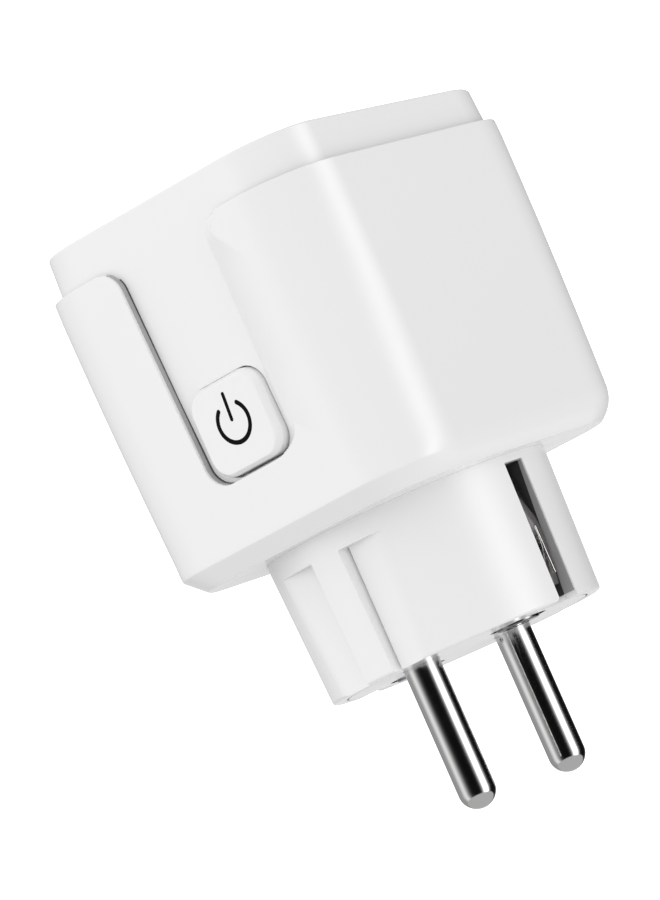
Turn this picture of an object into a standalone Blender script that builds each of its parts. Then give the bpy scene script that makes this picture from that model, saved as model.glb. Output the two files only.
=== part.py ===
"""Smart plug: a square sleeve over an inner housing with a socket well, a push button
in a recessed channel, and a round plug boss with two pins and two side earth contacts.

Millimetres in the tables below, metres in the scene.
Origin at the centre of the boss's end face. +Y runs along the pins, into the wall socket.
The socket well opens towards -Y. The button is on +X. The earth contacts are at +Z and -Z.
"""

import math

import bmesh
import bpy
from mathutils import Matrix

MM = 0.001
GAP = 0.3

# Stations along Y
FRONT_Y = -66.3
STEP_Y = -60.1
MID_Y = -42.0
CHAMFER_Y = -21.75
BACK_Y = -19.4
PIN_TIP_Y = 19.5

# Square body: (y, half width, corner radius)
SLEEVE_OUTER = [
    (STEP_Y, 24.35, 9.85),
    (STEP_Y + 0.3, 24.55, 10.0),
    (MID_Y, 24.4, 10.0),
    (CHAMFER_Y, 23.85, 9.8),
    (BACK_Y, 21.65, 8.4),
]
SLEEVE_INNER = [
    (STEP_Y - 1.0, 23.55, 9.0),
    (MID_Y, 23.4, 9.0),
    (-22.2, 22.85, 8.8),
    (-20.8, 21.45, 8.0),
]
CORE_OUTER = [
    (FRONT_Y, 22.5, 8.2),
    (FRONT_Y + 0.55, 23.05, 8.7),
    (STEP_Y, 23.25, 8.7),
    (MID_Y, 23.1, 8.7),
    (-23.0, 22.5, 8.5),
]
CORE_INNER = [
    (-63.9, 21.6, 7.4),
    (MID_Y, 21.5, 7.3),
    (-22.0, 21.0, 7.0),
]
COVER_PLATE = [
    (-22.7, 22.3, 8.3),
    (-22.2, 22.3, 8.3),
    (-21.1, 21.1, 7.6),
]

# Socket well
WELL_RADIUS = 19.45
WELL_WALL = 1.45
WELL_FLOOR_Y = FRONT_Y + 18.1
FLOOR_BACK_Y = WELL_FLOOR_Y + 1.8
SOCKET_HOLE_RADIUS = 2.9
KEY_HALF_WIDTH = 2.2
KEY_DEPTH = 1.7

# Plug boss
BOSS_ROOT_RADIUS = 19.15
BOSS_END_RADIUS = 18.45
BOSS_BORE_RADIUS = 16.2
BOSS_END_WALL = 2.2
FLAT_X = 17.0
FLAT_TOP_Y = -16.6
RIB_HALF_WIDTH = 2.4
RIB_SHIFT = 0.6
EARTH_SLOT_HALF_WIDTH = 1.8
EARTH_SLOT_TOP_Y = -18.4

# Pins and screws
PIN_X = 9.5
PIN_RADIUS = 2.4
SCREW_Z = 9.2
SCREW_SHANK_RADIUS = 1.2
SCREW_HEAD_RADIUS = 2.9
SCREW_RECESS_RADIUS = 3.8

# Button and its channel
CHANNEL_MOUTH_Z = 7.6
CHANNEL_END_Z = 7.1
CHANNEL_END_Y = -29.0
CHANNEL_RADIUS = 3.0
BUTTON_Y = -35.9
BUTTON_HALF_Y = 5.85
BUTTON_Z = 0.65
BUTTON_HALF_Z = 6.3
BUTTON_RADIUS = 3.0
BUTTON_FACE_X = 24.35
BUTTON_GAP = 0.38

# Behind the button: stations along X
FLANGE_X = (20.3, 21.0)
FLANGE_REACH = 0.9
PLUNGER_RADIUS = 1.0
PLUNGER_X = (18.7, 20.0)
SWITCH_X = (17.0, 19.2)
SWITCH_HALF_WIDTH = 3.0
BUTTON_BOARD_X = (15.4, 16.7)
BUTTON_BOARD_Y = (-44.0, -28.9)
BUTTON_BOARD_Z = (-8.4, 8.4)

# Earth strip: its centre line in (y, z), from the front bow to the rear bow
EARTH_LINE = [
    (-62.4, 18.1), (-60.2, 17.0), (-57.2, 15.9), (-54.0, 16.6), (-50.0, 17.9),
    (-27.6, 17.9), (-25.2, 16.2), (-18.0, 16.2), (-12.0, 17.0), (-8.0, 17.2), (-2.2, 16.3),
]
EARTH_HALF_THICKNESS = 0.35
EARTH_HALF_WIDTH = 1.5
BRIDGE_Y = (-24.4, -23.6)

# Socket contacts and their holder
HOLDER_Y = (-43.3, -29.2)
HOLDER_HALF = (14.8, 6.0)
HOLDER_BORE_RADIUS = 4.2
CONTACT_Y = (-43.0, -29.2)
CONTACT_RADIUS = 3.8
CONTACT_BORE_RADIUS = 2.55
CONTACT_FLOOR_Y = -31.2

# Pin carrier
CARRIER_Y = (-14.5, -2.6)
CARRIER_RADIUS = 14.2

# Boards
BOARD_HALF = 19.9
BOARD_CORNER = 7.0
BOARD_Y = (-28.4, -26.9)
COMPONENT_BASE_Y = -28.9

# Boxes on the main board: name, x, front y, z, material
BOX_PARTS = (
    ("relay", (-20.2, -2.8), -43.2, (-17.0, -6.8), "blue"),
    ("x_capacitor", (-15.2, -4.5), -40.0, (6.9, 12.4), "yellow"),
    ("wifi_board", (-18.3, -2.6), -45.0, (15.6, 16.6), "board"),
    ("wifi_shield", (-17.0, -5.5), -43.0, (12.9, 15.3), "steel"),
    ("transformer", (3.2, 14.4), -42.0, (7.0, 15.0), "black"),
)

# Cans on the main board: name, x, z, radius, front y, material
CAN_PARTS = (
    ("bulk_capacitor_1", 7.4, -12.2, 4.0, -42.0, "black"),
    ("bulk_capacitor_2", 15.9, -14.0, 4.0, -42.0, "black"),
    ("fuse_resistor", -18.0, 10.2, 1.9, -38.0, "blue"),
)

# Shutter
SHUTTER_TRAVEL = 6.4
SHUTTER_HALF = (12.9, 6.6)
SHUTTER_Y = (-45.95, -43.75)
SHUTTER_Z = 3.2
SPRING_Z = (-14.3, -3.95)
SPRING_RADIUS = 0.8
SPRING_WIRE_RADIUS = 0.2
SPRING_TURNS = 7


def arc(centre, radius, start, end, count):
    """Points on a circle from start to end degrees, both included."""
    points = []
    for step in range(count + 1):
        angle = math.radians(start + (end - start) * step / count)
        points.append((centre[0] + radius * math.cos(angle), centre[1] + radius * math.sin(angle)))
    return points


def rounded_rect(half_u, half_v, radius, count=8):
    points = []
    for turn, (su, sv) in enumerate(((1, 1), (-1, 1), (-1, -1), (1, -1))):
        centre = (su * (half_u - radius), sv * (half_v - radius))
        points += arc(centre, radius, 90 * turn, 90 * turn + 90, count)
    return points


def add_object(name, mesh_data, group, material=None, origin=(0, 0, 0)):
    """An object whose mesh is given in millimetres, with its own origin at `origin`."""
    for vertex in mesh_data.verts:
        vertex.co = [(vertex.co[k] - origin[k]) * MM for k in range(3)]
    bmesh.ops.recalc_face_normals(mesh_data, faces=mesh_data.faces)
    mesh = bpy.data.meshes.new(name)
    mesh_data.to_mesh(mesh)
    mesh_data.free()
    mesh.shade_smooth()
    mesh.set_sharp_from_angle(angle=math.radians(35))
    obj = bpy.data.objects.new(name, mesh)
    obj.location = [value * MM for value in origin]
    group.objects.link(obj)
    if material:
        mesh.materials.append(material)
    else:
        obj.hide_render = True
        obj.display_type = "WIRE"
    return obj


def loft(loops):
    """A closed solid through loops of equal length, capped at both ends."""
    data = bmesh.new()
    rings = [[data.verts.new(point) for point in loop] for loop in loops]
    count = len(rings[0])
    for lower, upper in zip(rings, rings[1:]):
        for k in range(count):
            after = (k + 1) % count
            data.faces.new((lower[k], lower[after], upper[after], upper[k]))
    data.faces.new(reversed(rings[0]))
    data.faces.new(rings[-1])
    return data


def square_loft(sections):
    return loft(
        [[(u, y, v) for u, v in rounded_rect(half, half, radius)] for y, half, radius in sections]
    )


def turned(profile, x=0.0, z=0.0, count=32):
    """A solid of revolution about a line along Y, spun from (y, radius) pairs."""
    data = bmesh.new()
    outline = [(profile[0][0], 0.0), *profile, (profile[-1][0], 0.0)]
    verts = [data.verts.new((x + radius, y, z)) for y, radius in outline]
    edges = [data.edges.new(pair) for pair in zip(verts, verts[1:])]
    bmesh.ops.spin(
        data, geom=verts + edges, cent=(x, 0, z), axis=(0, 1, 0), dvec=(0, 0, 0),
        angle=2 * math.pi, steps=count, use_merge=True,
    )
    bmesh.ops.remove_doubles(data, verts=data.verts, dist=1e-5)
    return data


def cylinder(centre, axis, radius, length, count=24):
    """A cylinder about a line along X or Y, given by its middle point."""
    turn = Matrix.Rotation(math.pi / 2, 4, "Y" if axis == "X" else "X")
    data = bmesh.new()
    bmesh.ops.create_cone(
        data, cap_ends=True, segments=count, radius1=radius, radius2=radius, depth=length,
        matrix=Matrix.Translation(centre) @ turn,
    )
    return data


def rod(y, radius, x=0.0, z=0.0, count=32):
    """A cylinder along Y between two stations."""
    return cylinder((x, (y[0] + y[1]) / 2, z), "Y", radius, y[1] - y[0], count)


def rod_x(x, radius, y, z, count=24):
    """A cylinder along X between two stations."""
    return cylinder(((x[0] + x[1]) / 2, y, z), "X", radius, x[1] - x[0], count)


def block(x, y, z):
    data = bmesh.new()
    bmesh.ops.create_cube(data, size=1.0)
    bmesh.ops.scale(data, verts=data.verts, vec=(x[1] - x[0], y[1] - y[0], z[1] - z[0]))
    middle = ((x[0] + x[1]) / 2, (y[0] + y[1]) / 2, (z[0] + z[1]) / 2)
    bmesh.ops.translate(data, verts=data.verts, vec=middle)
    return data


def extruded(outline, vector):
    """A flat outline of 3-D points, extruded along a vector."""
    data = bmesh.new()
    face = data.faces.new([data.verts.new(point) for point in outline])
    grown = bmesh.ops.extrude_face_region(data, geom=[face])["geom"]
    ends = [item for item in grown if isinstance(item, bmesh.types.BMVert)]
    bmesh.ops.translate(data, verts=ends, vec=vector)
    return data


def slab_x(points, x):
    """A (y, z) outline extruded along X."""
    return extruded([(x[0], y, z) for y, z in points], (x[1] - x[0], 0, 0))


def slab_y(points, y):
    """An (x, z) outline extruded along Y."""
    return extruded([(u, y[0], v) for u, v in points], (0, y[1] - y[0], 0))


def button_loop(x, inset, radius):
    loop = rounded_rect(BUTTON_HALF_Y - inset, BUTTON_HALF_Z - inset, radius)
    return [(x, BUTTON_Y + u, BUTTON_Z + v) for u, v in loop]


def combine(obj, operation, data, cutters):
    """Adds one Boolean to obj, whose operand is a hidden helper made from data."""
    number = len(obj.modifiers)
    helper = add_object(f"helper_{obj.name}_{number}", data, cutters)
    modifier = obj.modifiers.new(f"{operation.lower()}_{number}", "BOOLEAN")
    modifier.operation = operation
    modifier.solver = "EXACT"
    modifier.object = helper


def bevel(obj, width):
    modifier = obj.modifiers.new("bevel", "BEVEL")
    modifier.width = width * MM
    modifier.segments = 1
    modifier.limit_method = "ANGLE"


def make_material(name, colour, metallic=0.0, roughness=0.4):
    material = bpy.data.materials.new(name)
    material.use_nodes = True
    shader = material.node_tree.nodes["Principled BSDF"]
    shader.inputs["Base Color"].default_value = (*colour, 1.0)
    shader.inputs["Metallic"].default_value = metallic
    shader.inputs["Roughness"].default_value = roughness
    material.diffuse_color = (*colour, 1.0)
    return material


def make_materials():
    return {
        "shell": make_material("shell", (0.86, 0.86, 0.855), 0.0, 0.3),
        "inner": make_material("inner", (0.8, 0.8, 0.78), 0.0, 0.5),
        "insulator": make_material("insulator", (0.16, 0.16, 0.17), 0.0, 0.5),
        "nickel": make_material("nickel", (0.72, 0.71, 0.69), 1.0, 0.2),
        "steel": make_material("steel", (0.55, 0.55, 0.56), 1.0, 0.35),
        "copper": make_material("copper", (0.75, 0.55, 0.3), 1.0, 0.35),
        "board": make_material("board", (0.05, 0.28, 0.12), 0.0, 0.5),
        "blue": make_material("blue", (0.08, 0.2, 0.55), 0.0, 0.4),
        "yellow": make_material("yellow", (0.8, 0.6, 0.1), 0.0, 0.4),
        "black": make_material("black", (0.03, 0.03, 0.03), 0.0, 0.4),
    }


def channel_outline():
    """Half of the channel's outline from its mouth to its end, then the mirrored half."""
    mouth = CHANNEL_MOUTH_Z + CHANNEL_RADIUS
    half = [(STEP_Y - 2.0, mouth)]
    half += arc((STEP_Y + CHANNEL_RADIUS, mouth), CHANNEL_RADIUS, 180, 270, 6)
    half += arc(
        (CHANNEL_END_Y - CHANNEL_RADIUS, CHANNEL_END_Z - CHANNEL_RADIUS), CHANNEL_RADIUS, 90, 0, 6
    )
    return half + [(y, -z) for y, z in reversed(half)]


def build_sleeve(group, cutters, materials):
    sleeve = add_object("outer_sleeve", square_loft(SLEEVE_OUTER), group, materials["shell"])
    combine(sleeve, "DIFFERENCE", square_loft(SLEEVE_INNER), cutters)
    opening = rod((-24.0, -15.0), BOSS_ROOT_RADIUS + GAP, count=64)
    combine(sleeve, "DIFFERENCE", opening, cutters)
    combine(sleeve, "DIFFERENCE", slab_x(channel_outline(), (20.0, 28.0)), cutters)


def build_core(group, cutters, materials):
    core = add_object("core_housing", square_loft(CORE_OUTER), group, materials["shell"])
    combine(core, "DIFFERENCE", square_loft(CORE_INNER), cutters)
    cup_radius = WELL_RADIUS + WELL_WALL
    combine(core, "UNION", rod((-64.8, FLOOR_BACK_Y), cup_radius, count=64), cutters)
    bore = [
        (FRONT_Y - 1.0, WELL_RADIUS + 1.4),
        (FRONT_Y + 0.4, WELL_RADIUS),
        (WELL_FLOOR_Y, WELL_RADIUS),
    ]
    combine(core, "DIFFERENCE", turned(bore, count=64), cutters)
    for side in (-1, 1):
        hole = [(WELL_FLOOR_Y - 1, SOCKET_HOLE_RADIUS), (FLOOR_BACK_Y + 1, SOCKET_HOLE_RADIUS)]
        combine(core, "DIFFERENCE", turned(hole, side * PIN_X, count=24), cutters)
        slot_z = sorted((side * 16.8, side * 19.0))
        slot = block((-2.4, 2.4), (WELL_FLOOR_Y - 1, FLOOR_BACK_Y + 1), slot_z)
        combine(core, "DIFFERENCE", slot, cutters)
        key_x = sorted((side * (WELL_RADIUS - KEY_DEPTH), side * (WELL_RADIUS + 0.7)))
        key = block(key_x, (FRONT_Y + 2.0, WELL_FLOOR_Y + 0.5), (-KEY_HALF_WIDTH, KEY_HALF_WIDTH))
        combine(core, "UNION", key, cutters)
        rail = block(sorted((side * 13.3, side * 14.5)), (FLOOR_BACK_Y - 0.5, -43.7), (-10.4, 10.4))
        combine(core, "UNION", rail, cutters)
    stop = block((-1.6, 1.6), (FLOOR_BACK_Y - 0.5, -43.7), (-16.3, -14.9))
    combine(core, "UNION", stop, cutters)
    aperture = loft([button_loop(x, -BUTTON_GAP, BUTTON_RADIUS) for x in (20.0, 26.0)])
    combine(core, "DIFFERENCE", aperture, cutters)


def build_cover(group, cutters, materials):
    cover = add_object("back_cover", square_loft(COVER_PLATE), group, materials["shell"])
    boss = [
        (-22.0, BOSS_ROOT_RADIUS),
        (BACK_Y, BOSS_ROOT_RADIUS),
        (-0.5, BOSS_END_RADIUS),
        (0.0, BOSS_END_RADIUS - 0.5),
    ]
    combine(cover, "UNION", turned(boss, count=64), cutters)
    bore = [(-24.0, BOSS_BORE_RADIUS), (-BOSS_END_WALL, BOSS_BORE_RADIUS)]
    combine(cover, "DIFFERENCE", turned(bore, count=64), cutters)
    for side in (-1, 1):
        for rib_side in (-1, 1):
            rib_z = side * RIB_SHIFT + rib_side * RIB_HALF_WIDTH
            flat_z = sorted((rib_z, rib_side * 10.0))
            flat = block(sorted((side * FLAT_X, side * 22.0)), (FLAT_TOP_Y, 2.0), flat_z)
            combine(cover, "DIFFERENCE", flat, cutters)
        width = (-EARTH_SLOT_HALF_WIDTH, EARTH_SLOT_HALF_WIDTH)
        passage = block(width, (-24.0, -10.0), sorted((side * 15.0, side * 17.7)))
        combine(cover, "DIFFERENCE", passage, cutters)
        slot = block(width, (EARTH_SLOT_TOP_Y, 2.0), sorted((side * 14.6, side * 22.0)))
        combine(cover, "DIFFERENCE", slot, cutters)
        pin_hole = rod((-4.0, 2.0), PIN_RADIUS + GAP, side * PIN_X, count=32)
        combine(cover, "DIFFERENCE", pin_hole, cutters)
        recess = [(-4.0, 1.6), (-1.3, 1.6), (-1.2, SCREW_RECESS_RADIUS), (1.0, SCREW_RECESS_RADIUS)]
        combine(cover, "DIFFERENCE", turned(recess, 0.0, side * SCREW_Z, 24), cutters)


def build_pins(group, cutters, materials):
    carrier = add_object("pin_carrier", rod(CARRIER_Y, CARRIER_RADIUS), group, materials["insulator"])
    for side in (-1, 1):
        pin_hole = rod((-16.0, 0.0), PIN_RADIUS + GAP, side * PIN_X, count=24)
        combine(carrier, "DIFFERENCE", pin_hole, cutters)
        screw_hole = rod((-16.0, 0.0), 1.5, 0.0, side * SCREW_Z, 16)
        combine(carrier, "DIFFERENCE", screw_hole, cutters)
    profile = [(-26.5, 1.1), (-17.4, 1.1), (-17.3, 3.4), (-15.0, 3.4), (-14.9, PIN_RADIUS)]
    dome = arc((0.0, PIN_TIP_Y - PIN_RADIUS), PIN_RADIUS, 0, 84, 7)
    profile += [(y, radius) for radius, y in dome]
    add_object("pin_live", turned(profile, PIN_X), group, materials["nickel"])
    add_object("pin_neutral", turned(profile, -PIN_X), group, materials["nickel"])


def build_screw(name, z, group, cutters, materials):
    profile = [
        (-11.5, 0.5),
        (-10.5, SCREW_SHANK_RADIUS),
        (-0.85, SCREW_SHANK_RADIUS),
        (-0.8, SCREW_HEAD_RADIUS),
        (-0.1, SCREW_HEAD_RADIUS - 0.2),
    ]
    screw = add_object(name, turned(profile, 0.0, z, 24), group, materials["steel"])
    combine(screw, "DIFFERENCE", block((-1.6, 1.6), (-0.6, 1.0), (z - 0.35, z + 0.35)), cutters)
    combine(screw, "DIFFERENCE", block((-0.35, 0.35), (-0.6, 1.0), (z - 1.6, z + 1.6)), cutters)


def earth_outline(side):
    """The strip's (y, z) outline on one side of the object."""
    near = [(y, side * (z - EARTH_HALF_THICKNESS)) for y, z in EARTH_LINE]
    far = [(y, side * (z + EARTH_HALF_THICKNESS)) for y, z in reversed(EARTH_LINE)]
    return near + far


def build_earth(group, materials):
    width = (-EARTH_HALF_WIDTH, EARTH_HALF_WIDTH)
    add_object("earth_bar_top", slab_x(earth_outline(1), width), group, materials["nickel"])
    add_object("earth_bar_bottom", slab_x(earth_outline(-1), width), group, materials["nickel"])
    bridge = block((-2.6, 2.6), BRIDGE_Y, (-15.5, 15.5))
    add_object("earth_bridge", bridge, group, materials["copper"])


def build_contacts(group, cutters, materials):
    half_x, half_z = HOLDER_HALF
    holder = block((-half_x, half_x), HOLDER_Y, (-half_z, half_z))
    holder = add_object("contact_block", holder, group, materials["insulator"])
    for side, name in ((1, "contact_live"), (-1, "contact_neutral")):
        x = side * PIN_X
        combine(holder, "DIFFERENCE", rod((-45.0, -27.0), HOLDER_BORE_RADIUS, x), cutters)
        contact = add_object(name, rod(CONTACT_Y, CONTACT_RADIUS, x), group, materials["copper"])
        bore = rod((-45.0, CONTACT_FLOOR_Y), CONTACT_BORE_RADIUS, x)
        combine(contact, "DIFFERENCE", bore, cutters)
        slit = block((x - 0.5, x + 0.5), (-45.0, CONTACT_FLOOR_Y - 1.8), (-5.0, 5.0))
        combine(contact, "DIFFERENCE", slit, cutters)


def build_shutter(group, cutters, materials):
    origin = (0.0, sum(SHUTTER_Y) / 2, SHUTTER_Z)
    outline = [(x, z + SHUTTER_Z) for x, z in rounded_rect(*SHUTTER_HALF, 1.5, 3)]
    plate = slab_y(outline, SHUTTER_Y)
    shutter = add_object("shutter", plate, group, materials["inner"], origin)
    for side in (-1, 1):
        hole = rod((-48.0, -42.0), 2.9, side * PIN_X, SHUTTER_TRAVEL, 24)
        combine(shutter, "DIFFERENCE", hole, cutters)
    build_spring(group, materials["steel"])


def build_spring(group, material):
    """A coil spring along Z between the shutter and its stop, as a bevelled curve."""
    curve = bpy.data.curves.new("shutter_spring", "CURVE")
    curve.dimensions = "3D"
    curve.bevel_depth = SPRING_WIRE_RADIUS * MM
    curve.bevel_resolution = 1
    curve.use_fill_caps = True
    line = curve.splines.new("POLY")
    count = SPRING_TURNS * 14
    line.points.add(count)
    low, high = SPRING_Z
    for k in range(count + 1):
        angle = 2 * math.pi * SPRING_TURNS * k / count
        point = (
            SPRING_RADIUS * math.cos(angle) * MM,
            SPRING_RADIUS * math.sin(angle) * MM,
            (high - low) * k / count * MM,
        )
        line.points[k].co = (*point, 1.0)
    curve.materials.append(material)
    obj = bpy.data.objects.new("shutter_spring", curve)
    obj.location = (0.0, sum(SHUTTER_Y) / 2 * MM, low * MM)
    group.objects.link(obj)


def build_button(group, cutters, materials):
    origin = (BUTTON_FACE_X, BUTTON_Y, 0.0)
    cap = loft([
        button_loop(FLANGE_X[0], -FLANGE_REACH, 2.5),
        button_loop(FLANGE_X[1], -FLANGE_REACH, 2.5),
        button_loop(FLANGE_X[1] + 0.1, 0.0, BUTTON_RADIUS),
        button_loop(BUTTON_FACE_X - 0.7, 0.0, BUTTON_RADIUS),
        button_loop(BUTTON_FACE_X - 0.2, 0.2, BUTTON_RADIUS - 0.2),
        button_loop(BUTTON_FACE_X, 0.7, BUTTON_RADIUS - 0.7),
    ])
    add_object("power_button", cap, group, materials["shell"], origin)
    plunger = rod_x(PLUNGER_X, PLUNGER_RADIUS, BUTTON_Y, 0.0)
    add_object("switch_plunger", plunger, group, materials["black"], (PLUNGER_X[1], BUTTON_Y, 0.0))
    y = (BUTTON_Y - SWITCH_HALF_WIDTH, BUTTON_Y + SWITCH_HALF_WIDTH)
    body = block(SWITCH_X, y, (-SWITCH_HALF_WIDTH, SWITCH_HALF_WIDTH))
    switch = add_object("tact_switch", body, group, materials["steel"])
    well = rod_x((SWITCH_X[0] + 0.8, SWITCH_X[1] + 1.0), PLUNGER_RADIUS + GAP, BUTTON_Y, 0.0)
    combine(switch, "DIFFERENCE", well, cutters)
    board = block(BUTTON_BOARD_X, BUTTON_BOARD_Y, BUTTON_BOARD_Z)
    add_object("button_board", board, group, materials["board"])
    led = block((SWITCH_X[0], SWITCH_X[0] + 1.1), (-41.6, -40.0), (4.0, 5.2))
    add_object("status_led", led, group, materials["yellow"])


def build_electronics(group, cutters, materials):
    outline = rounded_rect(BOARD_HALF, BOARD_HALF, BOARD_CORNER)
    board = add_object("main_board", slab_y(outline, BOARD_Y), group, materials["board"])
    for side in (-1, 1):
        notch = block((-2.3, 2.3), (-30.0, -25.0), sorted((side * 15.8, side * 22.0)))
        combine(board, "DIFFERENCE", notch, cutters)
    for name, x, front, z, material in BOX_PARTS:
        data = block(x, (front, COMPONENT_BASE_Y), z)
        bevel(add_object(name, data, group, materials[material]), 0.25)
    for name, x, z, radius, front, material in CAN_PARTS:
        can = rod((front, COMPONENT_BASE_Y), radius, x, z, 20)
        bevel(add_object(name, can, group, materials[material]), 0.4)
    disc = add_object("varistor", rod_x((15.8, 19.0), 4.2, -33.4, 13.4), group, materials["blue"])
    bevel(disc, 0.6)


def clear_scene():
    for obj in list(bpy.data.objects):
        bpy.data.objects.remove(obj)


def main():
    clear_scene()
    group = bpy.data.collections.new("smart_plug")
    cutters = bpy.data.collections.new("helpers")
    for collection in (group, cutters):
        bpy.context.scene.collection.children.link(collection)
    materials = make_materials()
    build_sleeve(group, cutters, materials)
    build_core(group, cutters, materials)
    build_cover(group, cutters, materials)
    build_pins(group, cutters, materials)
    build_screw("screw_top", SCREW_Z, group, cutters, materials)
    build_screw("screw_bottom", -SCREW_Z, group, cutters, materials)
    build_earth(group, materials)
    build_contacts(group, cutters, materials)
    build_shutter(group, cutters, materials)
    build_button(group, cutters, materials)
    build_electronics(group, cutters, materials)


main()
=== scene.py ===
"""Looks of the smart plug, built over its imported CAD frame.

Tables are in millimetres in the frame's own axes: +Y runs along the pins, the socket well opens
towards -Y, the push button is on +X and the visible earth slot is on +Z.
"""

import math

import bmesh
import bpy
from mathutils import Matrix, Vector


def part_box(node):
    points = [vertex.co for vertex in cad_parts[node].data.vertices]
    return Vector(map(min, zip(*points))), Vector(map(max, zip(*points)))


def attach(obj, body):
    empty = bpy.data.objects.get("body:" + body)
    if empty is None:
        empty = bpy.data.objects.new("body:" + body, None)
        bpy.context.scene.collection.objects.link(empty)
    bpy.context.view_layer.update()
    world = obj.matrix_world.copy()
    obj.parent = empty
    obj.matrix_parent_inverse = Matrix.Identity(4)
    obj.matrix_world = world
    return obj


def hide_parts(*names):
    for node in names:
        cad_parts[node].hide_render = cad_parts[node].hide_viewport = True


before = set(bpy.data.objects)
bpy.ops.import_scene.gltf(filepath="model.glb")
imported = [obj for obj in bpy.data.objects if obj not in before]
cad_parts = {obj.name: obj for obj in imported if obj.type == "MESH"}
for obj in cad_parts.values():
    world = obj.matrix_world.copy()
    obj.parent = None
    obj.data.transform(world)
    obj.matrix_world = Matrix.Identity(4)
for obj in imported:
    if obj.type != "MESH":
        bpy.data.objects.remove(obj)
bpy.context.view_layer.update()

MM = 0.001


def node_box(name):
    """A CAD node's box as (low, high) lists in millimetres."""
    low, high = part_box(name)
    return [value / MM for value in low], [value / MM for value in high]


# ---------------------------------------------------------------- stations read from the frame
SLEEVE_LOW, SLEEVE_HIGH = node_box("outer_sleeve")
CORE_LOW = node_box("core_housing")[0]
BUTTON_LOW, BUTTON_HIGH = node_box("power_button")
PIN_LOW, PIN_HIGH = node_box("pin_live")
SHUTTER_LOW, SHUTTER_HIGH = node_box("shutter")

STEP_Y = SLEEVE_LOW[1]
BACK_Y = SLEEVE_HIGH[1]
FRONT_Y = CORE_LOW[1]
CHAMFER_Y = BACK_Y - 2.35
PIN_X = (PIN_LOW[0] + PIN_HIGH[0]) / 2
PIN_TIP_Y = PIN_HIGH[1]
BUTTON_FACE_X = BUTTON_HIGH[0]
BUTTON_Y = (BUTTON_LOW[1] + BUTTON_HIGH[1]) / 2
BUTTON_Z = BUTTON_HIGH[2] - 7.2

# Square body: (y, half width, corner radius)
BODY_HALF = 24.5
SLEEVE_OUTER = [
    (STEP_Y, BODY_HALF, 10.0),
    (-58.0, 24.54, 10.0),
    (-52.0, 24.5, 10.0),
    (-46.0, 24.44, 10.0),
    (-40.0, 24.34, 10.0),
    (-34.0, 24.2, 9.95),
    (-28.0, 24.04, 9.9),
    (-24.0, 23.92, 9.85),
]
# How the body ends: a crisp chamfer round the button side, which turns into a soft rounding
CHAMFER_EDGE = (CHAMFER_Y, 23.85, 9.8)
CHAMFER_END = (BACK_Y, 21.65, 8.4)
ROUNDING_RADIUS = 5.2
ROUNDING_START_Y = -23.6
ROUNDING_STEPS = 9
SLEEVE_INNER = [
    (STEP_Y - 1.5, 23.55, 9.0),
    (-42.0, 23.4, 9.0),
    (-22.2, 22.85, 8.8),
    (-20.8, 21.45, 8.0),
]
CORE_OUTER = [
    (FRONT_Y, 22.8, 8.5),
    (FRONT_Y + 0.04, 22.94, 8.6),
    (FRONT_Y + 0.12, 23.02, 8.65),
    (FRONT_Y + 0.28, 23.06, 8.7),
    (STEP_Y, 23.25, 8.7),
    (-42.0, 23.1, 8.7),
    (-23.0, 22.5, 8.5),
]
CORE_INNER = [(-63.9, 21.6, 7.4), (-42.0, 21.5, 7.3), (-22.0, 21.0, 7.0)]
TILTED_SECTIONS = 4  # the first sections of CORE_OUTER, which make the front rim
COVER_PLATE = [(-22.7, 22.3, 8.3), (-22.2, 22.3, 8.3), (-21.1, 21.1, 7.6)]

# The front rim runs out of square by a constant, and per millimetre of x, of z and of x squared
RIM_LEAN = (0.044, -0.015, 0.0217, 0.0011)
# The body's front edge does so per millimetre from the +X side and from the +Z side
STEP_LEAN = (0.0035, 0.0135)

WELL_RADIUS = 19.45
WELL_WALL = 1.45
WELL_FLOOR_Y = -48.2
FLOOR_BACK_Y = -46.4
SOCKET_HOLE_RADIUS = 2.9
SOCKET_HOLE_LEAD = 1.6
EARTH_WINDOW_Z = (16.8, 19.0)
EARTH_WINDOW_HALF_WIDTH = 2.4
KEY_HALF_WIDTH = 2.2

BOSS_ROOT_RADIUS = 19.15
OPENING_RADIUS = 18.6
NECK_RADIUS = 19.13
SHOULDER = 0.02
BOSS_END_RADIUS = 18.45
FLAT_X = 17.0
FLAT_TOP_Y = -16.6
FLAT_BLEND = 4.5
RIB_HALF_WIDTH = 2.4
RIB_SHIFT = 0.6
RIB_GROOVE = 0.28
SLOT_HALF_WIDTH = 1.8
SLOT_TOP_Y = -18.4
SCREW_Z = 9.2
RECESS_RADIUS = 3.8
SEAM = (16.35, 16.62)
# Y span of the near-black ring of painted shade laid in the groove
SEAM_SHADE_Y = (-0.45, -0.06)

PIN_RADIUS = 2.43

# The finger channel: an upright wall at -Z, a gentle slope at +Z
CHANNEL_MOUTH_Z = 7.6
CHANNEL_END_Z = 7.1
CHANNEL_END_Y = -29.5
CHANNEL_RADIUS = 3.2
CHANNEL_FLOOR_X = 23.2
SLOPE_RISE = 1.6
SLOPE_RUN = 2.8
CHANNEL_SURROUND = ((22.3, 23.9), (-9.5, 13.0))  # fills the gap round the channel, in X and in Z
SLEEVE_TAPER = 0.0155
# (depth, low X, high X, start after the step) of the two strips of painted shade on the upright
# wall, near-black in the crease at its foot and grey above it, up to where they end in Z
SHADE_STRIPS = {"channel_crease_shade": (0.12, 22.2, 23.5, 1.1), "channel_wall_shade": (0.07, 23.45, 24.2, 0.0)}
SHADE_STRIP_END_Z = -4.6

BUTTON_GAP = 0.12
APERTURE_DROP = 0.12
BUTTON_HALF_Y = 5.85
BUTTON_HALF_Z = 6.3
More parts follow.
